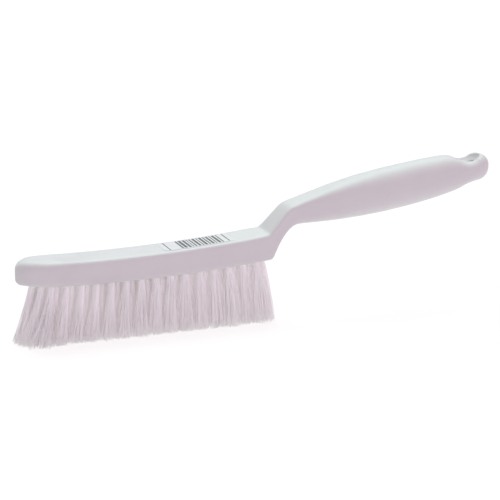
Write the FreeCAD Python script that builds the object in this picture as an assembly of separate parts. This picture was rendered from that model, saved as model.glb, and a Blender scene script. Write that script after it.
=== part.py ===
import FreeCAD, Part
import math
import os

os.makedirs("parts", exist_ok=True)
V = FreeCAD.Vector

# ---------------------------------------------------------------------------
# Soft hand brush: one moulding (bristle block, cranked neck and grip), five
# staggered rows of folded filament tufts, a flat metal anchor in every tuft
# and a film label on top of the block.
# Millimetres.  +X runs from the round nose of the block to the hang hole,
# +Z is up and Z = 0 is the plane the filaments are trimmed to.
# ---------------------------------------------------------------------------

# --- datum ------------------------------------------------------------------
DATUM_X = -5.23          # profile stations below are given from this X

# --- bristle block ----------------------------------------------------------
NOSE_X = -158.4          # round front end of the moulding (profile station)
BLOCK_HALF_W = 13.25     # half width of the block
NOSE_PLAN_L = 24.0       # length of the nose rounding seen from above
NOSE_TOP_L, NOSE_TOP_H = 12.0, 6.4      # nose rounding seen from the side, upper edge: length and drop
NOSE_BOT_R = 2.6         # nose rounding seen from the side, lower edge
TOP_LOW_X, TOP_LOW_Z, TOP_BOW = -97.0, 52.6, 2170.0    # bowed top: low point, 2 x radius
TOP_BOW_NOSE = 1450.0    # the same bow in front of the low point
BOT_LOW_X, BOT_LOW_Z, BOT_BOW = -86.4, 36.4, 2064.0    # bowed underside
HEEL_DROP, HEEL_DROP_X = 1.0, -28.0     # the bow flattens out behind this station

# --- neck -------------------------------------------------------------------
NECK_FRONT = (19.7, 68.3, 1.03)     # point (station, z) and slope of the front face
NECK_REAR = (14.4, 44.3, 1.92)      # point (station, z) and slope of the rear face
NECK_BASE_BLEND = 1.2               # block top into neck front
NECK_TOP_BLEND = 2.0                # neck front into grip top
HEEL_BLEND = 2.0                    # block underside into rear face
THROAT_BLEND = 16.0                 # rear face into grip underside

# --- grip and paddle end (station, height above trim plane) ------------------
GRIP_TOP = [(16, 70.5), (22, 72.6), (28, 74.55), (36, 77.15), (44, 79.65), (52, 82.15),
            (61, 84.7), (70, 87.0), (79, 89.0), (88, 90.7), (97, 92.2), (106, 93.45),
            (115, 94.6), (123, 95.45), (130, 96.1), (136, 96.6), (140, 96.6),
            (143.5, 96.3), (146.5, 95.3), (149, 94.05), (151.5, 93.3), (154, 93.05),
            (156.5, 93.25), (158.5, 93.9), (160.5, 95.05), (163, 96.4), (166, 97.2),
            (169, 97.5), (176, 97.7)]
GRIP_BOT = [(24, 61.4), (32, 61.5), (41, 61.35), (50, 61.2), (59, 61.25), (68, 61.6),
            (77, 62.05), (85, 62.75), (94, 63.6), (103, 64.8), (112, 66.1), (120, 67.5),
            (129, 69.2), (138, 71.3), (143, 72.7), (147, 74.1), (151, 76.15), (155, 77.75),
            (159, 78.7), (163, 79.2), (168, 80.0), (176, 81.4)]
HALF_WIDTH = [(-170, 13.25), (-30, 13.25), (-12, 13.25), (-2, 13.2), (4, 12.85), (8.5, 12.05), (13, 10.95),
              (17.5, 10.15), (23, 9.7), (30, 9.55), (38, 9.75), (48, 10.45), (60, 11.45),
              (72, 12.35), (85, 13.1), (98, 13.55), (112, 13.6), (125, 13.3), (137, 12.7),
              (147, 12.1), (155, 11.9), (161, 11.8), (176, 11.8)]
# squareness of the upper and lower half of each cross-section
SQUARE_TOP = [(-170, 2.6), (-156.4, 2.8), (-150, 3.5), (-142, 4.6), (-132, 5.7), (-118, 6.9), (-100, 8.0),
              (-85, 8.5), (-10, 8.5), (10, 9.0), (28, 8.0),
              (38, 5.6), (50, 4.0), (65, 3.1), (85, 2.5), (110, 2.3), (135, 2.4), (145, 2.7), (151, 3.3), (157, 3.2),
              (163, 2.6), (176, 2.3)]
SQUARE_BOT = [(-170, 3.4), (-156.4, 4.4), (-150, 7.0), (-140, 11.0), (-10, 11.0), (12, 9.0), (24, 6.0),
              (36, 4.2), (50, 3.2), (70, 2.6), (100, 2.3), (135, 2.3), (150, 2.5), (160, 2.6), (176, 2.4)]
END_X = 170.9            # rear end of the moulding (profile station)
END_PLAN_R = 11.8        # rounding of the paddle end seen from above
END_TOP_L = 9.6          # length over which the paddle end rounds off seen from the side, upper edge
END_BOT_L = 8.6          # the same, lower edge

# --- hang hole --------------------------------------------------------------
HANG_X, HANG_Z = 160.3, 85.8        # point on the axis of the hole, half way along its bore
HANG_R = 2.6
HANG_TILT = 15.0                    # degrees
HANG_RIM_R = 1.8                    # rounded lower rim
BOWL_X, BOWL_Z, BOWL_R = 156.9, 98.4, 8.0   # ball that hollows the top of the paddle round the hole
BOWL_RIM_R = 0.8                    # rounded edge of the hollow

# --- tufts ------------------------------------------------------------------
PITCH = 9.9              # along a row
ROW_Y = [-9.4, -4.7, 0.0, 4.7, 9.4]
ROW_FIRST = [-137.5, -142.45, -147.4, -142.45, -137.5]   # first tuft of each row (station)
ROW_COUNT = [15, 16, 16, 16, 15]
HOLE_R = 2.25
HOLE_DEPTH = 12.5
TUFT_R = 2.20            # tuft where it leaves its hole
TUFT_TIP_R = 3.75        # tuft at the trim plane
ROOT_GAP = 0.25          # left free at the blind end of the hole
ROW_SPLAY = [-5.6, -2.8, 0.0, 2.8, 5.6]                # sideways lean, degrees
SPLAY_NOSE, SPLAY_ZERO_X, SPLAY_HEEL = -13.5, -31.0, 5.4   # lengthwise lean, degrees

# --- anchors ----------------------------------------------------------------
ANCHOR_W = 4.74          # bites 0.12 mm into the hole wall at each end
ANCHOR_T = 0.40
ANCHOR_H = 2.40
ANCHOR_UP = 0.90         # filament fold between anchor and root end
ANCHOR_SLOT_GAP = 0.05

# --- label ------------------------------------------------------------------
LABEL_X0, LABEL_X1 = -61.4, -13.8   # stations
LABEL_HALF_W = 9.4
LABEL_T = 0.12
LABEL_LIFT = 0.03        # adhesive line
LABEL_CORNER_R = 2.0


# ---------------------------------------------------------------------------
# profile helpers
# ---------------------------------------------------------------------------
def spline(table):
    """Natural cubic spline through a table of (station, value)."""
    xs = [p[0] for p in table]
    ys = [p[1] for p in table]
    n = len(xs)
    h = [xs[i + 1] - xs[i] for i in range(n - 1)]
    a = [0.0] * n
    c = [0.0] * n
    d = [0.0] * n
    m = [0.0] * n
    b = [1.0] * n
    for i in range(1, n - 1):
        a[i] = h[i - 1]
        b[i] = 2.0 * (h[i - 1] + h[i])
        c[i] = h[i]
        d[i] = 6.0 * ((ys[i + 1] - ys[i]) / h[i] - (ys[i] - ys[i - 1]) / h[i - 1])
    for i in range(1, n):
        w = a[i] / b[i - 1]
        b[i] -= w * c[i - 1]
        d[i] -= w * d[i - 1]
    m[n - 1] = d[n - 1] / b[n - 1]
    for i in range(n - 2, -1, -1):
        m[i] = (d[i] - c[i] * m[i + 1]) / b[i]

    def value(x):
        k = 0
        while k < n - 2 and x > xs[k + 1]:
            k += 1
        t0 = xs[k + 1] - x
        t1 = x - xs[k]
        return ((m[k] * t0 ** 3 + m[k + 1] * t1 ** 3) / (6.0 * h[k])
                + (ys[k] / h[k] - m[k] * h[k] / 6.0) * t0
                + (ys[k + 1] / h[k] - m[k + 1] * h[k] / 6.0) * t1)
    return value


def slow(table):
    """Straight-line interpolation, constant beyond the ends of its table."""
    def value(x):
        if x <= table[0][0]:
            return table[0][1]
        for (x0, y0), (x1, y1) in zip(table, table[1:]):
            if x <= x1:
                t = (x - x0) / (x1 - x0)
                return y0 + (y1 - y0) * t
        return table[-1][1]
    return value


def soft_min(p, q, k):
    g = max(k - abs(p - q), 0.0) / k
    return min(p, q) - g * g * k / 4.0


def soft_max(p, q, k):
    return -soft_min(-p, -q, k)


grip_top = spline(GRIP_TOP)
grip_bot = spline(GRIP_BOT)
half_width = spline(HALF_WIDTH)
square_top = slow(SQUARE_TOP)
square_bot = slow(SQUARE_BOT)


def block_top(x):
    return TOP_LOW_Z + (x - TOP_LOW_X) ** 2 / (TOP_BOW if x > TOP_LOW_X else TOP_BOW_NOSE)


def block_bot(x):
    drop = HEEL_DROP * (max(x - HEEL_DROP_X, 0.0) / 40.0) ** 2
    return BOT_LOW_Z + (x - BOT_LOW_X) ** 2 / BOT_BOW - drop


def quarter(d, r, power=2.0):
    """1 inside a rounded end, falling to 0 at its tip; d is the distance from the tip."""
    if d >= r:
        return 1.0
    u = (r - d) / r
    return max(1.0 - u ** power, 0.0) ** (1.0 / power)


def top_line(x):
    z = block_top(x)
    if x > -20.0:
        front = NECK_FRONT[1] + NECK_FRONT[2] * (x - NECK_FRONT[0])
        z = soft_max(z, front, NECK_BASE_BLEND)
        if x > 12.0:
            z = soft_min(z, grip_top(x), NECK_TOP_BLEND)
    return z


def bot_line(x):
    z = block_bot(x)
    if x > -20.0:
        rear = NECK_REAR[1] + NECK_REAR[2] * (x - NECK_REAR[0])
        z = soft_max(z, rear, HEEL_BLEND)
        if x > 10.0:
            z = soft_min(z, grip_bot(max(x, 24.0)), THROAT_BLEND)
    return z


def section(x):
    """Top z, bottom z, half width and both squareness values at a station."""
    zt, zb, b = top_line(x), bot_line(x), half_width(x)
    d = x - NOSE_X
    if d < NOSE_PLAN_L:
        b *= quarter(d, NOSE_PLAN_L, 2.1)
        zt -= NOSE_TOP_H * (1.0 - quarter(d, NOSE_TOP_L))
        zb += NOSE_BOT_R * (1.0 - quarter(d, NOSE_BOT_R))
    d = END_X - x
    if d < END_PLAN_R:
        b *= quarter(d, END_PLAN_R, 2.1)
    mid = 0.5 * (zt + zb)
    zt = mid + (zt - mid) * quarter(d, END_TOP_L, 2.1)
    zb = mid - (mid - zb) * quarter(d, END_BOT_L, 2.1)
    return zt, zb, b, square_top(x), square_bot(x)


# ---------------------------------------------------------------------------
# skin of the moulding: one closed bicubic surface through the sections
# ---------------------------------------------------------------------------
def stations():
    near_nose = [0.03, 0.15, 0.38, 0.72, 1.2, 1.8, 2.6, 3.5, 4.6, 6.0, 7.6, 9.5,
                 11.6, 14.0, 16.7, 19.8, 23.4, 27.5]
    xs = [NOSE_X + d for d in near_nose]
    x = xs[-1] + 8.0
    while x < -20.0:
        xs.append(x)
        x += 11.0
    xs += [-17.5, -11.5, -6.5, -2.0, 1.5, 3.7]
    x = 5.2
    while x < 31.5:
        xs.append(x)
        x += 0.9 if x < 15.0 else 1.3
    xs += [34.0, 37.0, 40.5, 45.0, 50.0, 56.0, 63.0, 71.0, 80.0, 90.0, 100.0, 110.0, 119.0, 127.0,
           133.5, 138.0, 141.5, 144.0, 146.0, 148.0, 150.0, 152.0, 154.0, 156.0, 158.0]
    near_end = [0.03, 0.15, 0.38, 0.72, 1.2, 1.8, 2.6, 3.5, 4.6, 5.9, 7.4, 9.0, 10.8, 12.6]
    xs += [END_X - d for d in near_end if END_X - d > 158.8]
    return sorted(xs)


RING = 56


def ring(x):
    zt, zb, b, nt, nb = section(x)
    zc = 0.5 * (zt + zb)
    a = 0.5 * (zt - zb)
    pts = []
    for k in range(RING):
        u = 2.0 * math.pi * k / RING
        th = u + 0.13 * math.sin(4.0 * u)
        c, s = math.cos(th), math.sin(th)
        n = nt if s > 0 else nb
        if abs(s) < 1e-9:
            n = nt
        r = (abs(c) ** n + abs(s) ** n) ** (-1.0 / n)
        pts.append((x + DATUM_X, b * r * c, zc + a * r * s))
    return pts


def solve(matrix, rhs):
    """Gaussian elimination for several right-hand sides."""
    n = len(matrix)
    A = [row[:] for row in matrix]
    B = [row[:] for row in rhs]
    for i in range(n):
        p = max(range(i, n), key=lambda r: abs(A[r][i]))
        if p != i:
            A[i], A[p] = A[p], A[i]
            B[i], B[p] = B[p], B[i]
        for r in range(i + 1, n):
            if A[r][i] != 0.0:
                w = A[r][i] / A[i][i]
                for c in range(i, n):
                    if A[i][c] != 0.0:
                        A[r][c] -= w * A[i][c]
                for c in range(len(B[i])):
                    B[r][c] -= w * B[i][c]
    for i in range(n - 1, -1, -1):
        for r in range(i + 1, n):
            if A[i][r] != 0.0:
                for c in range(len(B[i])):
                    B[i][c] -= A[i][r] * B[r][c]
        for c in range(len(B[i])):
            B[i][c] /= A[i][i]
    return B


def basis(i, p, t, knots):
    if p == 0:
        if knots[i] <= t < knots[i + 1]:
            return 1.0
        if t == knots[-1] and knots[i] < knots[i + 1] == t:
            return 1.0
        return 0.0
    out = 0.0
    d = knots[i + p] - knots[i]
    if d > 0:
        out += (t - knots[i]) / d * basis(i, p - 1, t, knots)
    d = knots[i + p + 1] - knots[i + 1]
    if d > 0:
        out += (knots[i + p + 1] - t) / d * basis(i + 1, p - 1, t, knots)
    return out


def skin_solid():
    rings = [ring(x) for x in stations()]
    m = len(rings)

    # poles round each section, closed uniform cubic
    A = [[0.0] * RING for _ in range(RING)]
    for i in range(RING):
        A[i][i] = 4.0 / 6.0
        A[i][(i - 1) % RING] = 1.0 / 6.0
        A[i][(i + 1) % RING] = 1.0 / 6.0
    rhs = [[rings[j][i][c] for j in range(m) for c in range(3)] for i in range(RING)]
    sol = solve(A, rhs)
    around = [[[sol[i][3 * j + c] for c in range(3)] for i in range(RING)] for j in range(m)]

    # common parameter along the brush from the mean chord length
    t = [0.0]
    for j in range(1, m):
        step = 0.0
        for i in range(RING):
            step += math.sqrt(sum((rings[j][i][c] - rings[j - 1][i][c]) ** 2 for c in range(3)))
        t.append(t[-1] + (step / RING) ** 0.75)
    t = [v / t[-1] for v in t]
    knots = [0.0] * 4 + [sum(t[j:j + 3]) / 3.0 for j in range(1, m - 3)] + [1.0] * 4
    B = [[0.0] * m for _ in range(m)]
    for j in range(m):
        for i in range(m):
            if knots[i] <= t[j] <= knots[i + 4]:
                B[j][i] = basis(i, 3, t[j], knots)
    rhs = [[around[j][i][c] for i in range(RING) for c in range(3)] for j in range(m)]
    sol = solve(B, rhs)
    poles = [[V(*[sol[j][3 * i + c] for c in range(3)]) for i in range(RING)] for j in range(m)]

    uk = sorted(set(knots))
    um = [knots.count(k) for k in uk]
    vk = [float(k) for k in range(RING + 1)]
    vm = [1] * (RING + 1)
    surf = Part.BSplineSurface()
    surf.buildFromPolesMultsKnots(poles, um, vm, uk, vk, False, True, 3, 3)
    face = surf.toShape()
    caps = []
    for e in face.Edges:
        if e.isClosed() and e.BoundBox.XLength < 0.01:
            caps.append(Part.Face(Part.Wire([e])))
    shell = Part.Shell([face] + caps)
    shell.sewShape()
    solid = Part.Solid(shell)
    if solid.Volume < 0:
        solid.reverse()
    return solid


# ---------------------------------------------------------------------------
# tuft layout
# ---------------------------------------------------------------------------
def lean(x):
    if x < SPLAY_ZERO_X:
        t = (SPLAY_ZERO_X - x) / (SPLAY_ZERO_X - ROW_FIRST[2])
        return SPLAY_NOSE * t ** 1.25
    return SPLAY_HEEL * (x - SPLAY_ZERO_X) / 38.0


def tuft_axis(row, k):
    """Mouth of the hole on the underside and the direction the filaments leave in."""
    x = ROW_FIRST[row] + PITCH * k
    mouth = V(x + DATUM_X, ROW_Y[row], block_bot(x))
    d = V(math.tan(math.radians(lean(x))), math.tan(math.radians(ROW_SPLAY[row])), -1.0)
    d.normalize()
    return mouth, d


def anchor_frame(mouth, d):
    """Strip axes: across the tuft along the row, through its thickness, and up the hole."""
    up = d * -1.0
    across = V(1, 0, 0) - up * up.x
    across.normalize()
    return across, up.cross(across), up


def strip(mouth, d, w, t, h, low):
    across, thick, up = anchor_frame(mouth, d)
    o = mouth + up * low - across * (w / 2.0) - thick * (t / 2.0)
    pts = [o, o + across * w, o + across * w + thick * t, o + thick * t, o]
    return Part.Face(Part.makePolygon(pts)).extrude(up * h)


BELOW = Part.makeBox(600, 200, 100, V(-300, -100, -100))
ROOT_LEN = HOLE_DEPTH - ROOT_GAP
ANCHOR_LOW = ROOT_LEN - ANCHOR_UP - ANCHOR_H


def tuft(mouth, d):
    up = d * -1.0
    root = Part.makeCylinder(TUFT_R, ROOT_LEN + 1.0, mouth + d * 1.0, up)
    reach = mouth.z / -d.z
    flare = TUFT_TIP_R - TUFT_R
    length = reach * 1.25
    cone = Part.makeCone(TUFT_R, TUFT_R + flare * (length - 1.0) / (reach - 1.0), length - 1.0,
                         mouth + d * 1.0, d)
    body = root.fuse(cone).cut(BELOW).removeSplitter()
    slot = strip(mouth, d, 2.0 * TUFT_R + 2.0, ANCHOR_T + 2.0 * ANCHOR_SLOT_GAP,
                 ANCHOR_H + 2.0 * ANCHOR_SLOT_GAP, ANCHOR_LOW - ANCHOR_SLOT_GAP)
    return body.cut(slot)


# ---------------------------------------------------------------------------
# build
# ---------------------------------------------------------------------------
body = skin_solid()

drills = []
for row in range(5):
    for k in range(ROW_COUNT[row]):
        mouth, d = tuft_axis(row, k)
        drills.append(Part.makeCylinder(HOLE_R, HOLE_DEPTH + 4.0, mouth + d * 4.0, d * -1.0))
body = body.cut(drills)

ca, sa = math.cos(math.radians(HANG_TILT)), math.sin(math.radians(HANG_TILT))
hang_axis = V(-sa, 0, ca)
hang_c = V(HANG_X + DATUM_X, 0, HANG_Z)
bowl_c = V(BOWL_X + DATUM_X, 0, BOWL_Z)
body = body.cut(Part.makeSphere(BOWL_R, bowl_c))
body = body.cut(Part.makeCylinder(HANG_R, 40, hang_c - hang_axis * 30, hang_axis))
lower_rim, bowl_rim = [], []
for e in body.Edges:
    if e.BoundBox.XMin > BOWL_X + DATUM_X - BOWL_R - 1 and e.BoundBox.XMax < BOWL_X + DATUM_X + BOWL_R + 6:
        pts = e.discretize(9)
        rad = [((p - hang_c) - hang_axis * (p - hang_c).dot(hang_axis)).Length for p in pts]
        along = [(p - hang_c).dot(hang_axis) for p in pts]
        ball = [(p - bowl_c).Length for p in pts]
        if max(abs(r - HANG_R) for r in rad) < 0.01 and max(along) < 0.0:
            lower_rim.append(e)
        elif max(abs(r - BOWL_R) for r in ball) < 0.01 and min(rad) > HANG_R + 0.3:
            bowl_rim.append(e)
print("rim edges", len(lower_rim), len(bowl_rim))
body = body.makeFillet(HANG_RIM_R, lower_rim)
body = body.makeFillet(BOWL_RIM_R, bowl_rim)
if body.ShapeType != "Solid":
    body = body.Solids[0]

parts = {"brush_body": body}

thirds = ["nose", "middle", "heel"]
for row in range(5):
    n = ROW_COUNT[row]
    cut1 = n - 10
    groups = [range(0, cut1), range(cut1, cut1 + 5), range(cut1 + 5, n)]
    for name, group in zip(thirds, groups):
        parts["tufts_row_%d_%s" % (row + 1, name)] = Part.makeCompound(
            [tuft(*tuft_axis(row, k)) for k in group])
    parts["anchors_row_%d" % (row + 1)] = Part.makeCompound(
        [strip(*tuft_axis(row, k), ANCHOR_W, ANCHOR_T, ANCHOR_H, ANCHOR_LOW) for k in range(n)])

low, high = [], []
for i in range(13):
    x = LABEL_X0 + (LABEL_X1 - LABEL_X0) * i / 12.0
    low.append(V(x + DATUM_X, -LABEL_HALF_W, block_top(x) + LABEL_LIFT))
    high.append(V(x + DATUM_X, -LABEL_HALF_W, block_top(x) + LABEL_LIFT + LABEL_T))
lower = Part.BSplineCurve()
lower.interpolate(low)
upper = Part.BSplineCurve()
upper.interpolate(high)
edge = Part.Wire([lower.toShape(), Part.makeLine(low[-1], high[-1]), upper.toShape(), Part.makeLine(high[0], low[0])])
label = Part.Face(edge).extrude(V(0, 2 * LABEL_HALF_W, 0))
plate = Part.makeBox(LABEL_X1 - LABEL_X0, 2 * LABEL_HALF_W, 40, V(LABEL_X0 + DATUM_X, -LABEL_HALF_W, 40))
upright = [e for e in plate.Edges if e.BoundBox.ZLength > 30]
label = label.common(plate.makeFillet(LABEL_CORNER_R, upright)).Solids[0]
parts["film_label"] = label

for name, shape in parts.items():
    shape.exportStep("parts/%s.step" % name)

box = Part.makeCompound(list(parts.values())).BoundBox
print("pieces", {n: len(s.Solids) for n, s in parts.items()})
print("valid", {n: s.isValid() for n, s in parts.items() if not s.isValid()})
print("body volume", round(body.Volume / 1000.0, 2), "cm3; tufts", round(sum(s.Volume for n, s in parts.items() if n.startswith("tufts")) / 1000.0, 2))
print("box", [round(v, 3) for v in (box.XMin, box.XMax, box.YMin, box.YMax, box.ZMin, box.ZMax)])
c = body.CenterOfMass
print("body centre of mass", round(c.x, 2), round(c.y, 2), round(c.z, 2))
wall = []
for f in body.Faces:
    if f.Surface.TypeId == "Part::GeomCylinder" and abs(f.Surface.Radius - HANG_R) < 1e-6:
        for e in f.Edges:
            wall.append(sorted((q - hang_c).dot(hang_axis) for q in e.discretize(25)))
print("hang hole wall", [(round(w[0], 2), round(w[-1], 2)) for w in wall])
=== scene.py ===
import bpy
import bmesh
import math
import numpy as np
from mathutils import Vector, Matrix


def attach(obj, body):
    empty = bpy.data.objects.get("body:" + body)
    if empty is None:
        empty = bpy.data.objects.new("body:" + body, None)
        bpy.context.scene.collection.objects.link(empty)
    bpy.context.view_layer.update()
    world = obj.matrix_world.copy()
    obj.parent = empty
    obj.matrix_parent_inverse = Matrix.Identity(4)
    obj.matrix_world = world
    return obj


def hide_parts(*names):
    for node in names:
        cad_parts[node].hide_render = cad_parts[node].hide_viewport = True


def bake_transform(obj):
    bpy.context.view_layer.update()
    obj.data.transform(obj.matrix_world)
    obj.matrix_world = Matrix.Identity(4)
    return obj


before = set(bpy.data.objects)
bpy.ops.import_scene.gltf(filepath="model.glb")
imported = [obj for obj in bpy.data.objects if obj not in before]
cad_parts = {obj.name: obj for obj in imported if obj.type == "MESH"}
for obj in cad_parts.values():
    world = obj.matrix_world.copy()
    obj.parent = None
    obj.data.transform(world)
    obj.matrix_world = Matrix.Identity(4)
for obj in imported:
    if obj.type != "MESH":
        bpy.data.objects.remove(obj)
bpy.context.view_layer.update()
scene = bpy.context.scene
MM = 0.001

# ---------------------------------------------------------------------------
# Shape of the brush, in millimetres: the same stations as the solid model.
# ---------------------------------------------------------------------------
DATUM_X = -5.23
NOSE_X = -158.4
NOSE_PLAN_L = 24.0
NOSE_TOP_L, NOSE_TOP_H = 12.0, 6.4
NOSE_BOT_R = 2.6
TOP_LOW_X, TOP_LOW_Z, TOP_BOW = -97.0, 52.6, 2170.0
TOP_BOW_NOSE = 1450.0
BOT_LOW_X, BOT_LOW_Z, BOT_BOW = -86.4, 36.4, 2064.0
NECK_FRONT = (19.7, 68.3, 1.03)
NECK_REAR = (14.4, 44.3, 1.92)
NECK_BASE_BLEND = 1.2
NECK_TOP_BLEND = 2.0
HEEL_BLEND = 2.0
THROAT_BLEND = 16.0
GRIP_TOP = [(16, 70.5), (22, 72.6), (28, 74.55), (36, 77.15), (44, 79.65), (52, 82.15),
            (61, 84.7), (70, 87.0), (79, 89.0), (88, 90.7), (97, 92.2), (106, 93.45),
            (115, 94.6), (123, 95.45), (130, 96.1), (136, 96.6), (140, 96.6),
            (143.5, 96.3), (146.5, 95.3), (149, 94.05), (151.5, 93.3), (154, 93.05),
            (156.5, 93.25), (158.5, 93.9), (160.5, 95.05), (163, 96.4), (166, 97.2),
            (169, 97.5), (176, 97.7)]
GRIP_BOT = [(24, 61.4), (32, 61.5), (41, 61.35), (50, 61.2), (59, 61.25), (68, 61.6),
            (77, 62.05), (85, 62.75), (94, 63.6), (103, 64.8), (112, 66.1), (120, 67.5),
            (129, 69.2), (138, 71.3), (143, 72.7), (147, 74.1), (151, 76.15), (155, 77.75),
            (159, 78.7), (163, 79.2), (168, 80.0), (176, 81.4)]
HALF_WIDTH = [(-170, 13.25), (-30, 13.25), (-12, 13.25), (-2, 13.2), (4, 12.85), (8.5, 12.05), (13, 10.95),
              (17.5, 10.15), (23, 9.7), (30, 9.55), (38, 9.75), (48, 10.45), (60, 11.45),
              (72, 12.35), (85, 13.1), (98, 13.55), (112, 13.6), (125, 13.3), (137, 12.7),
              (147, 12.1), (155, 11.9), (161, 11.8), (176, 11.8)]
SQUARE_TOP = [(-170, 2.6), (-156.4, 2.8), (-150, 3.5), (-142, 4.6), (-132, 5.7), (-118, 6.9), (-100, 8.0),
              (-85, 8.5), (-10, 8.5), (10, 9.0), (28, 8.0),
              (38, 5.6), (50, 4.0), (65, 3.1), (85, 2.5), (110, 2.3), (135, 2.4), (145, 2.7), (151, 3.3), (157, 3.2),
              (163, 2.6), (176, 2.3)]
SQUARE_BOT = [(-170, 3.4), (-156.4, 4.4), (-150, 7.0), (-140, 11.0), (-10, 11.0), (12, 9.0), (24, 6.0),
              (36, 4.2), (50, 3.2), (70, 2.6), (100, 2.3), (135, 2.3), (150, 2.5), (160, 2.6), (176, 2.4)]
END_X = 170.9
END_PLAN_R = 11.8
END_TOP_L = 9.6
END_BOT_L = 8.6
HANG_X, HANG_Z, HANG_R, HANG_TILT = 160.3, 85.8, 2.6, 15.0
HANG_RIM_R = 1.8
BOWL_X, BOWL_Z, BOWL_R = 156.9, 98.4, 8.0
HEEL_DROP, HEEL_DROP_X = 1.0, -28.0

PITCH = 9.9
ROW_Y = [-9.4, -4.7, 0.0, 4.7, 9.4]
ROW_FIRST = [-137.5, -142.45, -147.4, -142.45, -137.5]
ROW_COUNT = [15, 16, 16, 16, 15]
HOLE_R = 2.25
TUFT_R = 2.12
ROW_SPLAY = [-5.6, -2.8, 0.0, 2.8, 5.6]
SPLAY_NOSE, SPLAY_ZERO_X, SPLAY_HEEL = -13.5, -31.0, 5.4

LABEL_X0, LABEL_X1 = -61.4, -13.8
LABEL_HALF_W = 9.4
LABEL_T = 0.12
LABEL_LIFT = 0.03
LABEL_CORNER_R = 2.0


def spline(table):
    """Natural cubic spline through a table of (station, value)."""
    xs = np.array([p[0] for p in table], float)
    ys = np.array([p[1] for p in table], float)
    n = len(xs)
    h = np.diff(xs)
    A = np.eye(n)
    r = np.zeros(n)
    for i in range(1, n - 1):
        A[i, i - 1], A[i, i], A[i, i + 1] = h[i - 1], 2 * (h[i - 1] + h[i]), h[i]
        r[i] = 6 * ((ys[i + 1] - ys[i]) / h[i] - (ys[i] - ys[i - 1]) / h[i - 1])
    m = np.linalg.solve(A, r)

    def value(x):
        k = int(np.clip(np.searchsorted(xs, x, side="left") - 1, 0, n - 2))
        t0, t1 = xs[k + 1] - x, x - xs[k]
        return ((m[k] * t0 ** 3 + m[k + 1] * t1 ** 3) / (6 * h[k])
                + (ys[k] / h[k] - m[k] * h[k] / 6) * t0 + (ys[k + 1] / h[k] - m[k + 1] * h[k] / 6) * t1)
    return value


def steps(table):
    xs = [p[0] for p in table]
    ys = [p[1] for p in table]
    return lambda x: float(np.interp(x, xs, ys))


def soft_min(p, q, k):
    g = max(k - abs(p - q), 0.0) / k
    return min(p, q) - g * g * k / 4.0


def soft_max(p, q, k):
    return -soft_min(-p, -q, k)


grip_top, grip_bot, half_width = spline(GRIP_TOP), spline(GRIP_BOT), spline(HALF_WIDTH)
square_top, square_bot = steps(SQUARE_TOP), steps(SQUARE_BOT)


def block_top(x):
    return TOP_LOW_Z + (x - TOP_LOW_X) ** 2 / (TOP_BOW if x > TOP_LOW_X else TOP_BOW_NOSE)


def block_bot(x):
    drop = HEEL_DROP * (max(x - HEEL_DROP_X, 0.0) / 40.0) ** 2
    return BOT_LOW_Z + (x - BOT_LOW_X) ** 2 / BOT_BOW - drop


def quarter(d, r, power=2.0):
    if d >= r:
        return 1.0
    u = (r - d) / r
    return max(1.0 - u ** power, 0.0) ** (1.0 / power)


def top_line(x):
    z = block_top(x)
    if x > -20.0:
        z = soft_max(z, NECK_FRONT[1] + NECK_FRONT[2] * (x - NECK_FRONT[0]), NECK_BASE_BLEND)
        if x > 12.0:
            z = soft_min(z, grip_top(x), NECK_TOP_BLEND)
    return z


def bot_line(x):
    z = block_bot(x)
    if x > -20.0:
        z = soft_max(z, NECK_REAR[1] + NECK_REAR[2] * (x - NECK_REAR[0]), HEEL_BLEND)
        if x > 10.0:
            z = soft_min(z, grip_bot(max(x, 24.0)), THROAT_BLEND)
    return z


def hang_rim():
    """Distance from the middle of the hang hole down to the underside, along the hole."""
    t = math.radians(HANG_TILT)
    h = 0.0
    while HANG_Z - h * math.cos(t) > section(HANG_X + h * math.sin(t))[1]:
        h += 0.05
    return h


def section(x):
    zt, zb, b = top_line(x), bot_line(x), half_width(x)
    d = x - NOSE_X
    if d < NOSE_PLAN_L:
        b *= quarter(d, NOSE_PLAN_L, 2.1)
        zt -= NOSE_TOP_H * (1.0 - quarter(d, NOSE_TOP_L))
        zb += NOSE_BOT_R * (1.0 - quarter(d, NOSE_BOT_R))
    d = END_X - x
    if d < END_PLAN_R:
        b *= quarter(d, END_PLAN_R, 2.1)
    mid = 0.5 * (zt + zb)
    zt = mid + (zt - mid) * quarter(d, END_TOP_L, 2.1)
    zb = mid - (mid - zb) * quarter(d, END_BOT_L, 2.1)
    return zt, zb, b, square_top(x), square_bot(x)


# ---------------------------------------------------------------------------
# small helpers
# ---------------------------------------------------------------------------
def new_object(name, verts, faces, smooth=True):
    me = bpy.data.meshes.new(name)
    me.from_pydata([tuple(v) for v in verts], [], faces)
    me.update()
    if smooth:
        me.polygons.foreach_set("use_smooth", [True] * len(me.polygons))
    o = bpy.data.objects.new(name, me)
    scene.collection.objects.link(o)
    return o


def apply_modifiers(o):
    """Bakes the object's modifiers into its mesh."""
    bpy.context.view_layer.update()
    deps = bpy.context.evaluated_depsgraph_get()
    me = bpy.data.meshes.new_from_object(o.evaluated_get(deps))
    old = o.data
    o.modifiers.clear()
    o.data = me
    bpy.data.meshes.remove(old)
    return o


def material(name):
    m = bpy.data.materials.new(name)
    m.use_nodes = True
    nt = m.node_tree
    nt.nodes.clear()
    out = nt.nodes.new("ShaderNodeOutputMaterial")
    bsdf = nt.nodes.new("ShaderNodeBsdfPrincipled")
    nt.links.new(bsdf.outputs[0], out.inputs[0])
    return m, nt, bsdf


def node(nt, kind, **values):
    n = nt.nodes.new(kind)
    for k, v in values.items():
        if k in n.inputs:
            n.inputs[k].default_value = v
        else:
            setattr(n, k, v)
    return n


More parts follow.
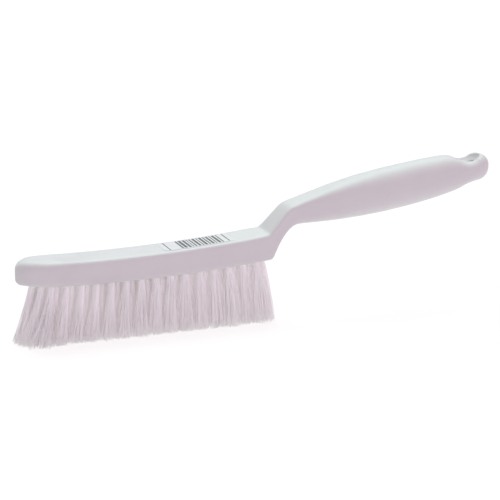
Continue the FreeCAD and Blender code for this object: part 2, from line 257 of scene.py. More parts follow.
def ramp(nt, fac, stops):
    r = nt.nodes.new("ShaderNodeValToRGB")
    e = r.color_ramp.elements
    while len(e) < len(stops):
        e.new(0.5)
    for k, (p, c) in enumerate(stops):
        e[k].position = p
        e[k].color = (c[0], c[1], c[2], 1.0)
    nt.links.new(fac, r.inputs[0])
    return r.outputs[0]


def value_range(nt, fac, lo, hi):
    r = nt.nodes.new("ShaderNodeMapRange")
    r.inputs["To Min"].default_value = lo
    r.inputs["To Max"].default_value = hi
    nt.links.new(fac, r.inputs["Value"])
    return r.outputs[0]


# ---------------------------------------------------------------------------
# materials
# ---------------------------------------------------------------------------
def moulded_plastic():
    m, nt, b = material("moulded_white")
    co = node(nt, "ShaderNodeTexCoord")
    cloud = node(nt, "ShaderNodeTexNoise", Scale=38.0, Detail=3.0, Roughness=0.55)
    fine = node(nt, "ShaderNodeTexNoise", Scale=2600.0, Detail=2.0, Roughness=0.5)
    wave = node(nt, "ShaderNodeTexNoise", Scale=160.0, Detail=2.0, Roughness=0.5)
    for t in (cloud, fine, wave):
        nt.links.new(co.outputs["Object"], t.inputs["Vector"])
    # painted shade: the colour is mixed darker towards the nose, standing in for the light falling off at that end
    sep = node(nt, "ShaderNodeSeparateXYZ")
    nt.links.new(co.outputs["Object"], sep.inputs[0])
    nose_painted_shade = node(nt, "ShaderNodeMapRange")
    for name, val in (("From Min", -0.150), ("From Max", -0.060), ("To Min", -0.30), ("To Max", 0.0)):
        nose_painted_shade.inputs[name].default_value = val
    nt.links.new(sep.outputs[0], nose_painted_shade.inputs["Value"])
    cloud_and_nose_shade = node(nt, "ShaderNodeMath", operation="ADD")
    nt.links.new(cloud.outputs[0], cloud_and_nose_shade.inputs[0])
    nt.links.new(nose_painted_shade.outputs[0], cloud_and_nose_shade.inputs[1])
    nt.links.new(ramp(nt, cloud_and_nose_shade.outputs[0], [(0.0, (0.578, 0.568, 0.573)), (0.30, (0.632, 0.622, 0.627)),
                                            (0.70, (0.651, 0.641, 0.646))]),
                 b.inputs["Base Color"])
    nt.links.new(value_range(nt, wave.outputs[0], 0.40, 0.50), b.inputs["Roughness"])
    bump = node(nt, "ShaderNodeBump", Strength=0.10, Distance=0.00008)
    nt.links.new(fine.outputs[0], bump.inputs["Height"])
    nt.links.new(bump.outputs[0], b.inputs["Normal"])
    b.inputs["IOR"].default_value = 1.46
    b.inputs["Specular IOR Level"].default_value = 0.35
    return m


def filament_plastic():
    m, nt, b = material("filament_white")
    # the strand attribute holds random per-filament variation plus painted shade: darker tips, nose end and middle
    # roots
    tone_and_shade = node(nt, "ShaderNodeAttribute", attribute_name="strand")
    co = node(nt, "ShaderNodeTexCoord")
    streak = node(nt, "ShaderNodeTexNoise", Scale=420.0, Detail=2.0, Roughness=0.6)
    nt.links.new(co.outputs["Object"], streak.inputs["Vector"])
    mix = node(nt, "ShaderNodeMix", data_type="FLOAT")
    mix.inputs[0].default_value = 0.25
    nt.links.new(tone_and_shade.outputs["Fac"], mix.inputs[2])
    nt.links.new(streak.outputs[0], mix.inputs[3])
    tint = ramp(nt, mix.outputs[0], [(0.0, (0.850, 0.842, 0.840)), (0.35, (0.945, 0.936, 0.934)), (0.65, (0.968, 0.962, 0.958)), (1.0, (0.986, 0.982, 0.977))])
    nt.links.new(tint, b.inputs["Base Color"])
    nt.links.new(value_range(nt, tone_and_shade.outputs["Fac"], 0.34, 0.52), b.inputs["Roughness"])
    b.inputs["IOR"].default_value = 1.48
    b.inputs["Specular IOR Level"].default_value = 0.4
    # painted light: the strands emit a little light, set per point, to lift the shade inside the tufts
    painted_light = node(nt, "ShaderNodeAttribute", attribute_name="painted_light")
    nt.links.new(ramp(nt, painted_light.outputs["Fac"], [(0.0, (0.0, 0.0, 0.0)), (1.0, (1.0, 0.935, 0.95))]),
                 b.inputs["Emission Color"])
    b.inputs["Emission Strength"].default_value = 0.10
    return m


def label_film():
    m, nt, b = material("label_film")
    co = node(nt, "ShaderNodeTexCoord")
    t = node(nt, "ShaderNodeTexNoise", Scale=900.0, Detail=3.0, Roughness=0.6)
    nt.links.new(co.outputs["Object"], t.inputs["Vector"])
    nt.links.new(ramp(nt, t.outputs[0], [(0.3, (0.650, 0.645, 0.648)), (0.7, (0.675, 0.670, 0.673))]), b.inputs["Base Color"])
    nt.links.new(value_range(nt, t.outputs[0], 0.36, 0.46), b.inputs["Roughness"])
    return m


def label_ink():
    m, nt, b = material("label_ink")
    co = node(nt, "ShaderNodeTexCoord")
    t = node(nt, "ShaderNodeTexNoise", Scale=1400.0, Detail=3.0, Roughness=0.7)
    nt.links.new(co.outputs["Object"], t.inputs["Vector"])
    nt.links.new(ramp(nt, t.outputs[0], [(0.35, (0.060, 0.060, 0.062)), (0.75, (0.110, 0.108, 0.112))]), b.inputs["Base Color"])
    nt.links.new(value_range(nt, t.outputs[0], 0.42, 0.55), b.inputs["Roughness"])
    return m


def strip_steel():
    m, nt, b = material("anchor_strip")
    co = node(nt, "ShaderNodeTexCoord")
    mp = node(nt, "ShaderNodeMapping")
    mp.inputs["Scale"].default_value = (300.0, 6000.0, 6000.0)
    t = node(nt, "ShaderNodeTexNoise", Scale=1.0, Detail=3.0, Roughness=0.6)
    nt.links.new(co.outputs["Object"], mp.inputs[0])
    nt.links.new(mp.outputs[0], t.inputs["Vector"])
    nt.links.new(ramp(nt, t.outputs[0], [(0.3, (0.50, 0.50, 0.49)), (0.7, (0.66, 0.66, 0.64))]), b.inputs["Base Color"])
    nt.links.new(value_range(nt, t.outputs[0], 0.28, 0.42), b.inputs["Roughness"])
    b.inputs["Metallic"].default_value = 1.0
    return m


MAT_BODY = moulded_plastic()
MAT_FILAMENT = filament_plastic()
MAT_FILM = label_film()
MAT_INK = label_ink()
MAT_STEEL = strip_steel()


# ---------------------------------------------------------------------------
# moulding: a dense skin through the sections, drilled, then evened out
# ---------------------------------------------------------------------------
def stations():
    near = [0.004, 0.03, 0.09, 0.18, 0.32, 0.5, 0.75, 1.05, 1.4, 1.8, 2.3, 2.9, 3.5, 4.2, 5.0, 5.9, 6.9, 8.0,
            9.2, 10.5, 11.9, 13.4, 15.0, 17.0]
    xs = [NOSE_X + d for d in near]
    x = xs[-1] + 2.5
    while x < -12.0:
        xs.append(x)
        x += 3.0
    x = -10.0
    while x < 34.0:
        xs.append(x)
        x += 0.55
    while x < END_X - 14.0:
        xs.append(x)
        x += 1.1
    xs += [END_X - d for d in near if d < 13.5]
    return sorted(xs)


def tuft_axis(row, k):
    x = ROW_FIRST[row] + PITCH * k
    if x < SPLAY_ZERO_X:
        t = (SPLAY_ZERO_X - x) / (SPLAY_ZERO_X - ROW_FIRST[2])
        lean = SPLAY_NOSE * t ** 1.25
    else:
        lean = SPLAY_HEEL * (x - SPLAY_ZERO_X) / 38.0
    mouth = np.array([x + DATUM_X, ROW_Y[row], block_bot(x)])
    d = np.array([math.tan(math.radians(lean)), math.tan(math.radians(ROW_SPLAY[row])), -1.0])
    return mouth, d / np.linalg.norm(d)


def tube_between(p0, p1, radii, sides):
    """Closed round rod from p0 to p1 with the given radii at even steps."""
    p0, p1 = np.array(p0, float), np.array(p1, float)
    ax = (p1 - p0) / np.linalg.norm(p1 - p0)
    e1 = np.cross(ax, [0.0, 1.0, 0.0] if abs(ax[1]) < 0.9 else [1.0, 0.0, 0.0])
    e1 /= np.linalg.norm(e1)
    e2 = np.cross(ax, e1)
    n = len(radii)
    verts, faces = [], []
    for i, r in enumerate(radii):
        c = p0 + (p1 - p0) * i / (n - 1)
        for k in range(sides):
            a = 2 * math.pi * k / sides
            verts.append(c + (e1 * math.cos(a) + e2 * math.sin(a)) * r)
    for i in range(n - 1):
        for k in range(sides):
            a, b = i * sides + k, i * sides + (k + 1) % sides
            faces.append((a, b, b + sides, a + sides))
    faces.append(tuple(range(sides))[::-1])
    faces.append(tuple(range((n - 1) * sides, n * sides)))
    return verts, faces


def outward(o):
    bm = bmesh.new()
    bm.from_mesh(o.data)
    bmesh.ops.recalc_face_normals(bm, faces=bm.faces)
    bm.to_mesh(o.data)
    bm.free()


def make_bowl():
    """Ball that hollows the top of the paddle round the hang hole."""
    rings, sides = 48, 96
    c = np.array([BOWL_X + DATUM_X, 0.0, BOWL_Z])
    verts, faces = [(c + [0.0, 0.0, BOWL_R]) * MM], []
    for i in range(1, rings):
        lat = math.pi * i / rings
        for k in range(sides):
            a = 2 * math.pi * k / sides
            n = np.array([math.sin(lat) * math.cos(a), math.sin(lat) * math.sin(a), math.cos(lat)])
            verts.append((c + n * BOWL_R) * MM)
    verts.append((c - [0.0, 0.0, BOWL_R]) * MM)
    last = len(verts) - 1
    for k in range(sides):
        q = (k + 1) % sides
        faces.append((0, 1 + k, 1 + q))
        faces.append((last, 1 + (rings - 2) * sides + q, 1 + (rings - 2) * sides + k))
        for i in range(rings - 2):
            a, b = 1 + i * sides + k, 1 + i * sides + q
            faces.append((a, a + sides, b + sides, b))
    o = new_object("bowl", verts, faces, smooth=False)
    outward(o)
    return o


def make_body():
    RING = 120
    verts, faces = [], []
    xs = stations()
    u = np.arange(RING) * 2 * math.pi / RING
    th = u + 0.16 * np.sin(4 * u)
    c, s = np.cos(th), np.sin(th)
    for x in xs:
        zt, zb, b, nt_, nb_ = section(x)
        zc, a = 0.5 * (zt + zb), 0.5 * (zt - zb)
        n = np.where(s >= -1e-9, nt_, nb_)
        r = (np.abs(c) ** n + np.abs(s) ** n) ** (-1.0 / n)
        ring = np.stack([np.full(RING, x + DATUM_X), b * r * c, zc + a * r * s], 1) * MM
        verts.extend(ring.tolist())
    m = len(xs)
    for j in range(m - 1):
        for k in range(RING):
            p, q = j * RING + k, j * RING + (k + 1) % RING
            faces.append((p, q, q + RING, p + RING))
    faces.append(tuple(range(RING)))
    faces.append(tuple(range((m - 1) * RING, m * RING)))
    o = new_object("moulding", verts, faces)
    outward(o)

    # cutters: bowl, hang hole with a flared lower rim, and the tuft sockets
    t = math.radians(HANG_TILT)
    ax = np.array([-math.sin(t), 0.0, math.cos(t)])
    hc = np.array([HANG_X + DATUM_X, 0.0, HANG_Z])
    lower = hang_rim()
    radii = []
    for i in range(121):
        h = -15.0 + 25.0 * i / 120
        q = min(max(-h - (lower - HANG_RIM_R), 0.0) / HANG_RIM_R, 0.96)
        over = max(-h - (lower - 0.04 * HANG_RIM_R), 0.0)
        radii.append(HANG_R + HANG_RIM_R * (1.0 - math.sqrt(1.0 - q * q)) + 3.4 * over)
    cv, cf = tube_between((hc - ax * 15.0) * MM, (hc + ax * 10.0) * MM, [r * MM for r in radii], 64)
    for row in range(5):
        for k in range(ROW_COUNT[row]):
            mouth, d = tuft_axis(row, k)
            v, f = tube_between((mouth + d * 3.0) * MM, (mouth - d * 4.0) * MM, [HOLE_R * MM] * 2, 20)
            off = len(cv)
            cv += v
            cf += [tuple(i + off for i in q) for q in f]
    cut = new_object("cutter", cv, cf, smooth=False)
    outward(cut)
    bowl = make_bowl()
    for tool in (bowl, cut):
        mod = o.modifiers.new("drill", "BOOLEAN")
        mod.operation = "DIFFERENCE"
        mod.solver = "EXACT"
        mod.object = tool
    rem = o.modifiers.new("even", "REMESH")
    rem.mode = "VOXEL"
    rem.voxel_size = 0.00045
    apply_modifiers(o)
    bpy.data.objects.remove(cut)
    bpy.data.objects.remove(bowl)
    soften(o, hc, ax)
    o.data.polygons.foreach_set("use_smooth", [True] * len(o.data.polygons))
    o.data.update()
    o.data.materials.clear()
    o.data.materials.append(MAT_BODY)
    wrap_uv(o)
    return o


def soften(o, hc, ax):
    """Evens the voxel skin, and rounds the rims of the bowl and the hang hole."""
    me = o.data
    n = len(me.vertices)
    co = np.empty(n * 3)
    me.vertices.foreach_get("co", co)
    co = co.reshape(-1, 3)
    ed = np.empty(len(me.edges) * 2, int)
    me.edges.foreach_get("vertices", ed)
    ed = ed.reshape(-1, 2)
    deg = np.bincount(ed.ravel(), minlength=n).astype(float)

    def relax(p, weight):
        acc = np.zeros_like(p)
        for c in range(3):
            acc[:, c] = (np.bincount(ed[:, 0], weights=p[ed[:, 1], c], minlength=n)
                         + np.bincount(ed[:, 1], weights=p[ed[:, 0], c], minlength=n))
        return p + weight[:, None] * (acc / deg[:, None] - p)

    even = np.ones(n)
    for _ in range(3):
        co = relax(co, 0.5 * even)
        co = relax(co, -0.52 * even)
    bowl = np.linalg.norm(co / MM - np.array([BOWL_X + DATUM_X, 0.0, BOWL_Z]), axis=1)
    above = (co[:, 2] / MM > 90.0) & (co[:, 0] / MM > 140.0)
    near = np.clip(1.0 - np.abs(bowl - BOWL_R) / 1.8, 0.0, 1.0) * above
    q = co / MM - hc
    along = q @ ax
    rad = np.linalg.norm(q - along[:, None] * ax, axis=1)
    near = np.maximum(near, np.clip(1.0 - np.abs(rad - (HANG_R + 1.5)) / 2.4, 0.0, 1.0) * (np.abs(along) < 12.0) * (along < -3.0))
    near = near * near * (3 - 2 * near)
    for _ in range(8):
        co = relax(co, 0.5 * near)
    me.vertices.foreach_set("co", co.ravel())
    me.update()


def wrap_uv(o):
    """Unrolls the skin: length along U, turn about the section's middle along V."""
    me = o.data
    xs = np.linspace(NOSE_X, END_X, 400)
    mids = np.array([0.5 * (top_line(x) + bot_line(x)) for x in xs])
    lay = me.uv_layers.new(name="OFBake")
    n = len(me.vertices)
    co = np.empty(n * 3)
    me.vertices.foreach_get("co", co)
    co = co.reshape(-1, 3) / MM
    st = co[:, 0] - DATUM_X
    u = (st - NOSE_X) / (END_X - NOSE_X)
    ang = np.arctan2(co[:, 1], co[:, 2] - np.interp(st, xs, mids)) / (2 * math.pi) + 0.5
    loops = np.empty(len(me.loops), int)
    me.loops.foreach_get("vertex_index", loops)
    lu, lv = u[loops], ang[loops].copy()
    start = np.empty(len(me.polygons), int)
    total = np.empty(len(me.polygons), int)
    me.polygons.foreach_get("loop_start", start)
    me.polygons.foreach_get("loop_total", total)
    face = np.repeat(np.arange(len(start)), total)
    hi = np.zeros(len(start))
    lo = np.ones(len(start))
    np.maximum.at(hi, face, lv)
    np.minimum.at(lo, face, lv)
    wide = (hi - lo) > 0.5
    sel = wide[face] & (lv < 0.5)
    lv[sel] += 1.0
    uv = np.stack([0.02 + 0.96 * lu, 0.02 + 0.90 * lv], 1)
    lay.data.foreach_set("uv", np.clip(uv, 0.0, 1.0).ravel())


# ---------------------------------------------------------------------------
# label: a thin film bent over the bowed top, with plain dark bars on it
# ---------------------------------------------------------------------------
BARS = [(-58.1, 0.8), (-49.6, 1.3), (-47.5, 1.9), (-44.6, 1.6), (-42.0, 0.7), (-40.2, 1.1), (-38.0, 1.6),
        (-35.3, 0.8), (-33.5, 1.7), (-30.8, 1.0), (-28.8, 1.5), (-26.3, 0.8), (-24.5, 1.7), (-21.8, 0.9), (-17.6, 0.8)]
BAR_HALF_W = 8.4


def make_label():
    x_cuts = {LABEL_X0, LABEL_X1}
    for x, w in BARS:
        x_cuts.add(x)
        x_cuts.add(x + w)
    for a in (0.0, 0.3, 0.65, 1.0, 1.4, 2.0):
        x_cuts.add(LABEL_X0 + a)
        x_cuts.add(LABEL_X1 - a)
    xs = sorted(x_cuts)
    fill = [xs[0]]
    for x in xs[1:]:
        k = max(1, int(math.ceil((x - fill[-1]) / 1.2)))
        x0 = fill[-1]
        for i in range(1, k + 1):
            fill.append(x0 + (x - x0) * i / k)
    xs = fill
    fr = [-1.0, -0.97, -BAR_HALF_W / LABEL_HALF_W, -0.55, -0.25, 0.0, 0.25, 0.55, BAR_HALF_W / LABEL_HALF_W, 0.97, 1.0]

    def half(x):
        d = min(x - LABEL_X0, LABEL_X1 - x)
        if d >= LABEL_CORNER_R:
            return LABEL_HALF_W
        e = LABEL_CORNER_R - max(d, 0.0)
        return LABEL_HALF_W - LABEL_CORNER_R + math.sqrt(max(LABEL_CORNER_R ** 2 - e * e, 0.0))

    verts, faces, ink = [], [], []
    cols, rows = len(xs), len(fr)
    for layer in (0, 1):
        for x in xs:
            h = half(x)
            for f in fr:
                y = f * h
                lift = LABEL_LIFT + (LABEL_T if layer else 0.0)
                edge = 0.03 if (layer and abs(f) == 1.0) else 0.0
                verts.append(((x + DATUM_X) * MM, y * MM, (block_top(x) + lift - edge) * MM))
    size = cols * rows
    for i in range(cols - 1):
        mid = 0.5 * (xs[i] + xs[i + 1])
        dark = any(x < mid < x + w for x, w in BARS)
        for j in range(rows - 1):
            a, b, c, d = i * rows + j, (i + 1) * rows + j, (i + 1) * rows + j + 1, i * rows + j + 1
            faces.append((size + a, size + b, size + c, size + d))
            yj = 0.5 * (fr[j] + fr[j + 1]) * LABEL_HALF_W
            ink.append(1 if dark and abs(yj) < BAR_HALF_W else 0)
            faces.append((d, c, b, a))
            ink.append(0)
    rim = [(i, 0) for i in range(cols)] + [(cols - 1, j) for j in range(1, rows)]
    rim += [(i, rows - 1) for i in range(cols - 2, -1, -1)] + [(0, j) for j in range(rows - 2, 0, -1)]
    for (i0, j0), (i1, j1) in zip(rim, rim[1:] + rim[:1]):
        a, b = i0 * rows + j0, i1 * rows + j1
        faces.append((a, b, size + b, size + a))
        ink.append(0)
    o = new_object("film_label_skin", verts, faces, smooth=False)
    o.data.materials.append(MAT_FILM)
    o.data.materials.append(MAT_INK)
    o.data.polygons.foreach_set("material_index", ink)
    outward(o)
    return o


# ---------------------------------------------------------------------------
# filaments
# ---------------------------------------------------------------------------
STRANDS = 200
SEGS = 7
SIDES = 4
STRAND_R = 0.138
ROOT_R = 1.88


def tuft_strands(row, k, rng):
    """Centre lines (strand, point, xyz) of one tuft in millimetres, the strands' random colour with painted shade, and
    their painted emitted light.
    """
    mouth, d = tuft_axis(row, k)
    n = STRANDS
    i = np.arange(n)
    rad = TUFT_R * np.sqrt((i + 0.5) / n)
    ang = i * 2.399963 + rng.uniform(0, 6.28)
    ox = rad * np.cos(ang) + rng.normal(0, 0.05, n)
    oy = rad * np.sin(ang) + rng.normal(0, 0.05, n)
    reach = mouth[2] / -d[2]
    along = min(max((mouth[0] + 110.0) / 70.0, 0.0), 1.0)
    fan_x = 2.65 + 0.2 * along + rng.normal(0, 0.15)
    fan_y = 1.9 + rng.normal(0, 0.08)
    if k == 0 or k == ROW_COUNT[row] - 1:
        fan_y *= (1.1, 1.45, 1.7, 1.45, 1.1)[row]
    drift = rng.normal(0, 0.6, 2)
    tx = ox * fan_x + drift[0] + rng.normal(0, 1.3, n)
    ty = oy * fan_y + drift[1] + rng.normal(0, 0.8, n)
    if k == 0:
        tx = np.where(tx < 0, tx * (1.55, 1.45, 0.70, 1.45, 1.55)[row], tx)
    if k == ROW_COUNT[row] - 1:
        tx = np.where(tx > 0, tx * (1.15, 0.45, 0.50, 0.45, 1.15)[row], tx)
    stray = rng.uniform(0, 1, n) < 0.015
    tx = np.where(stray, tx + rng.normal(0, 1.6, n), tx)
    ty = np.where(stray, ty + rng.normal(0, 1.2, n), ty)
    if k == 0:
        tx = np.maximum(tx, (-10.5, -9.0, -5.5, -9.0, -10.5)[row] + rng.uniform(0, 1.5, n))
    if k == ROW_COUNT[row] - 1:
        tx = np.minimum(tx, (7.4, 3.8, 4.5, 3.8, 7.4)[row] - rng.uniform(0, 0.8, n))
    short = np.abs(rng.normal(0, 0.30, n)) + np.where(rng.uniform(0, 1, n) < 0.04, rng.uniform(0.4, 1.4, n), 0.0)
    phase = rng.uniform(0, 6.28, n)
    wave = rng.uniform(0.03, 0.12, n)
    turn = rng.uniform(0, 6.28, n)
    count = rng.uniform(3.0, 4.6, n)
    flick = rng.normal(0, 0.22, (n, 2))
    tone_and_shade = rng.normal(0.0, 0.16, n)
    inside = row in (1, 2, 3)
    front = 1.0 - min(max((mouth[0] + 90.0) / 50.0, 0.0), 1.0)
    middle = max(1.0 - abs(mouth[0] + 88.0) / 45.0, 0.0)
    # straight and close together inside the hole, fanning out from its mouth
    tuck = np.minimum(1.0, ROOT_R / np.hypot(ox, oy))
    rx, ry = ox * tuck, oy * tuck
    pts = np.zeros((n, SEGS + 1, 3))
    shade = np.zeros((n, SEGS + 1))
    painted_light = np.zeros((n, SEGS + 1))
    root = 3.0
    for j in range(SEGS + 1):
        h = -root if j == 0 else reach * (j - 1) / (SEGS - 1)
        t = (h + root) / (reach + root)
        f = max(h, 0.0) / reach
        g = (1.0 - along) * f ** 1.8 + along * (1.0 - (1.0 - f) ** 2.2)
        base = mouth + d * h
        cx = rx + (tx - rx) * g
        cy = ry + (ty - ry) * g
        w = wave * np.sin(phase + count * 6.28 * t) * min(1.0, 3.0 * f)
        pts[:, j, 0] = base[0] + cx + w * np.cos(turn) + flick[:, 0] * f ** 4
        pts[:, j, 1] = base[1] + cy + w * np.sin(turn) + flick[:, 1] * f ** 4
        pts[:, j, 2] = base[2] + np.where(f > 0, short * f, 0.0)
        # painted light: the strands emit more light in the three inner rows and near the roots, less at the tips and at
        # the roots of the middle tufts, to lift the shade among the tufts
        if inside:
            painted_light[:, j] = (0.66 + 0.10 * (1.0 - f) ** 3) * (1.0 - 0.30 * f ** 4)
        else:
            painted_light[:, j] = (0.26 + 0.16 * (1.0 - f) ** 3) * (1.0 - 0.30 * f ** 4)
        painted_light[:, j] *= 1.0 - 0.36 * middle * (1.0 - f) ** 2
        # painted shade on top of random variation per filament: darker towards the tips, towards the nose end and at
        # the roots of the middle tufts, lighter near the tips at the nose end
        shade[:, j] = tone_and_shade + 0.66 - 0.22 * f - 0.22 * f ** 5 + 0.22 * np.clip((base[0] + 90.0) / 90.0, -0.8, 1.0)
        shade[:, j] += 0.12 * front * f - 0.20 * middle * (1.0 - f) ** 2
        # painted shade: the first two tufts at the nose end are darker and emit less light
        if k < 2:
            shade[:, j] -= (0.21, 0.05)[k]
            painted_light[:, j] *= (0.76, 0.96)[k]
    pts[:, :, 2] = np.maximum(pts[:, :, 2], 0.02)
    return pts, np.clip(shade, 0.0, 1.0), np.clip(painted_light, 0.0, 1.0)


def make_strands(name, row, members, seed):
    rng = np.random.default_rng(seed)
    all_pts, all_tone_and_shade, all_painted_light = [], [], []
    for k in members:
        p, v, w = tuft_strands(row, k, rng)
        all_pts.append(p)
        all_tone_and_shade.append(v)
        all_painted_light.append(w)
    P = np.concatenate(all_pts)
    tone_and_shade = np.concatenate(all_tone_and_shade)
    painted_light = np.concatenate(all_painted_light)
    n = len(P)
    npts = SEGS + 1
    a = np.arange(SIDES) * 2 * math.pi / SIDES
    spin = np.random.default_rng(seed + 7).uniform(0, 1.57, n)
    R = STRAND_R * np.random.default_rng(seed + 9).uniform(0.88, 1.12, n)
    ca, sa = np.cos(a[None, :] + spin[:, None]) * R[:, None], np.sin(a[None, :] + spin[:, None]) * R[:, None]
    V = np.repeat(P[:, :, None, :], SIDES, axis=2)
    taper = np.ones(npts)
    taper[-1] = 0.82
    V[..., 0] += ca[:, None, :] * taper[None, :, None]
    V[..., 1] += sa[:, None, :] * taper[None, :, None]
    verts = V.reshape(-1, 3) * MM
    quads = []
    base = np.arange(n)[:, None, None] * (npts * SIDES)
    jj = np.arange(SEGS)[None, :, None] * SIDES
    kk = np.arange(SIDES)[None, None, :]
    kn = (kk + 1) % SIDES
    q = np.stack([base + jj + kk, base + jj + SIDES + kk, base + jj + SIDES + kn, base + jj + kn], -1).reshape(-1, 4)
    caps = (np.arange(n)[:, None] * (npts * SIDES) + SEGS * SIDES + np.arange(SIDES)[None, ::-1]).reshape(-1, 4)
    caps0 = (np.arange(n)[:, None] * (npts * SIDES) + np.arange(SIDES)[None, :]).reshape(-1, 4)
    faces = np.concatenate([q, caps, caps0])
    me = bpy.data.meshes.new(name)
    me.vertices.add(len(verts))
    me.vertices.foreach_set("co", verts.ravel())
    me.loops.add(faces.size)
    me.loops.foreach_set("vertex_index", faces.ravel())
    me.polygons.add(len(faces))
    me.polygons.foreach_set("loop_start", np.arange(len(faces)) * 4)
    me.polygons.foreach_set("loop_total", np.full(len(faces), 4))
    smooth = np.ones(len(faces), bool)
    smooth[len(q):] = False
    me.polygons.foreach_set("use_smooth", smooth)
    me.update(calc_edges=True)
    me.validate()
    at = me.attributes.new("strand", "FLOAT", "POINT")
    at.data.foreach_set("value", np.repeat(tone_and_shade.ravel(), SIDES).astype(np.float32))
    at = me.attributes.new("painted_light", "FLOAT", "POINT")
    at.data.foreach_set("value", np.repeat(painted_light.ravel(), SIDES).astype(np.float32))
    # every strand has its own narrow upright patch in the sheet
    colsn = 110
    rowsn = int(math.ceil(n / colsn))
    sid = faces[:, 0] // (npts * SIDES)
    local = faces % (npts * SIDES)
    jv = local // SIDES
    kv = (local % SIDES).astype(float)
    side_quads = np.arange(len(faces)) < len(q)
    last = side_quads & ((local % SIDES).max(axis=1) == SIDES - 1) & ((local % SIDES).min(axis=1) == 0)
    kv = np.where(last[:, None] & (kv == 0), float(SIDES), kv)
    uu = ((sid % colsn)[:, None] + 0.15 + 0.7 * kv / SIDES) / colsn
    vv = ((sid // colsn)[:, None] + 0.05 + 0.9 * jv / SEGS) / rowsn
    lay = me.uv_layers.new(name="OFBake")
    lay.data.foreach_set("uv", np.stack([uu, vv], -1).astype(np.float32).ravel())
    me.materials.append(MAT_FILAMENT)
    o = bpy.data.objects.new(name, me)
    scene.collection.objects.link(o)
    return o


# ---------------------------------------------------------------------------
# assemble
# ---------------------------------------------------------------------------
body = make_body()
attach(body, "brush")
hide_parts("brush_body")

label = make_label()
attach(label, "brush")
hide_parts("film_label")

for row in range(5):
    n = ROW_COUNT[row]
    first = n - 10
    groups = {"nose": range(0, first), "middle": range(first, first + 5), "heel": range(first + 5, n)}
    for g, (third, members) in enumerate(groups.items()):
        tuft_node = "tufts_row_%d_%s" % (row + 1, third)
        o = make_strands("filaments_row_%d_%s" % (row + 1, third), row, members, 1000 + 10 * row + g)
        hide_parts(tuft_node)
        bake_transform(o)

for name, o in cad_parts.items():
    if name.startswith("anchors"):
        o.data.materials.clear()
        o.data.materials.append(MAT_STEEL)


# ---------------------------------------------------------------------------
# stage, light and camera
# ---------------------------------------------------------------------------
def make_floor():
    rings, sides = [0.0, 0.4, 1.0, 3.0, 10.0, 40.0], 64
    verts = [(0.0, 0.0, 0.0)]
    faces = []
    for r in rings[1:]:
        for k in range(sides):
            a = 2 * math.pi * k / sides
            verts.append((r * math.cos(a), r * math.sin(a), 0.0))
    for k in range(sides):
        faces.append((0, 1 + k, 1 + (k + 1) % sides))
    for i in range(len(rings) - 2):
        for k in range(sides):
            a, b = 1 + i * sides + k, 1 + i * sides + (k + 1) % sides
            faces.append((a, a + sides, b + sides, b))
    o = new_object("floor", verts, faces)
    o.location.z = -0.0002
    m, nt, b = material("floor_white")
    co = node(nt, "ShaderNodeTexCoord")
    t = node(nt, "ShaderNodeTexNoise", Scale=6.0, Detail=2.0)
    nt.links.new(co.outputs["Object"], t.inputs["Vector"])
    nt.links.new(ramp(nt, t.outputs[0], [(0.3, (0.248, 0.248, 0.248)), (0.7, (0.252, 0.252, 0.252))]), b.inputs["Base Color"])
    b.inputs["Roughness"].default_value = 0.9
    b.inputs["Specular IOR Level"].default_value = 0.0
    b.inputs["Emission Color"].default_value = (1.0, 0.973, 0.983, 1.0)
    b.inputs["Emission Strength"].default_value = 0.765
    o.data.materials.append(m)
    return o


make_floor()


def sun(name, towards, strength, spread, colour):
    """Broad even light from one side of the studio; spread is its apparent width in degrees."""
    l = bpy.data.lights.new(name, "SUN")
    l.energy = strength
    l.angle = math.radians(spread)
    l.color = colour
    o = bpy.data.objects.new(name, l)
    o.rotation_euler = Vector(towards).to_track_quat("Z", "Y").to_euler()
    o.location = Vector(towards) * 2.0
    scene.collection.objects.link(o)
    return o


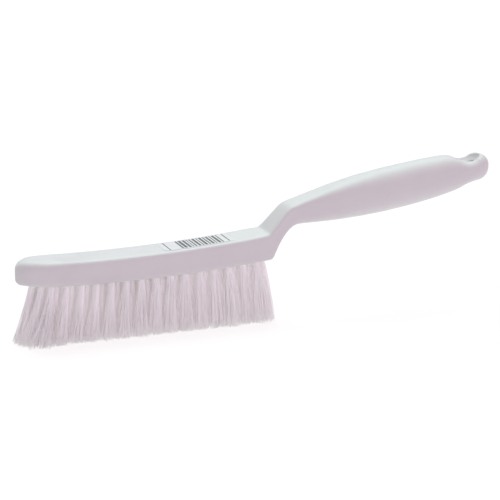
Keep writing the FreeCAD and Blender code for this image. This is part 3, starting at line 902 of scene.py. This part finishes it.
sun("back_top", (0.12, 0.60, 0.79), 1.40, 45.0, (0.645, 1.0, 0.885))
sun("top", (0.0, 0.05, 1.0), 1.20, 60.0, (0.57, 1.0, 0.62))
sun("upper_left", (-0.55, 0.10, 0.83), 0.22, 40.0, (0.95, 0.88, 1.0))
sun("front_fill", (0.05, -0.75, 0.60), 0.13, 60.0, (1.0, 0.62, 0.90))

world = bpy.data.worlds.new("studio")
world.use_nodes = True
bg = world.node_tree.nodes["Background"]
wt = world.node_tree
towards = node(wt, "ShaderNodeTexCoord")
split = node(wt, "ShaderNodeSeparateXYZ")
wt.links.new(towards.outputs["Generated"], split.inputs[0])
across = node(wt, "ShaderNodeMapRange")
across.inputs["From Min"].default_value = -1.0
wt.links.new(split.outputs["X"], across.inputs["Value"])
# the two ends of the studio are a little darker than its front
wt.links.new(ramp(wt, across.outputs[0], [(0.0, (0.15, 0.13, 0.15)), (0.25, (0.52, 0.37, 0.50)), (0.5, (0.745, 0.485, 0.69)),
                                          (0.75, (0.73, 0.475, 0.675)), (1.0, (0.46, 0.37, 0.45))]), bg.inputs["Color"])
bg.inputs["Strength"].default_value = 1.0
scene.world = world

scene.view_settings.view_transform = "Standard"
scene.view_settings.look = "None"
scene.view_settings.exposure = 0.0
scene.view_settings.gamma = 1.0

AZ, EL, DIST, PX_PER_M = math.radians(-21.1), math.radians(15.6), 1.5, 1530.0
aim = Vector((DATUM_X * MM, 0.0, 0.0454))
back = Vector((math.sin(AZ) * math.cos(EL), -math.cos(AZ) * math.cos(EL), math.sin(EL)))
right = Vector((math.cos(AZ), math.sin(AZ), 0.0))
up = back.cross(right)
cam = bpy.data.cameras.new("camera")
cam.sensor_width = 36.0
cam.sensor_fit = "HORIZONTAL"
cam.lens = 36.0 * PX_PER_M * DIST / 500.0
cam.clip_start = 0.05
cam.clip_end = 100.0
cam.dof.use_dof = False
camera = bpy.data.objects.new("camera", cam)
camera.matrix_world = Matrix((
    (right.x, up.x, back.x, aim.x + back.x * DIST),
    (right.y, up.y, back.y, aim.y + back.y * DIST),
    (right.z, up.z, back.z, aim.z + back.z * DIST),
    (0.0, 0.0, 0.0, 1.0)))
scene.collection.objects.link(camera)
scene.camera = camera

# pale strands pass light on many times before it is lost
scene.cycles.max_bounces = 40
scene.cycles.diffuse_bounces = 40
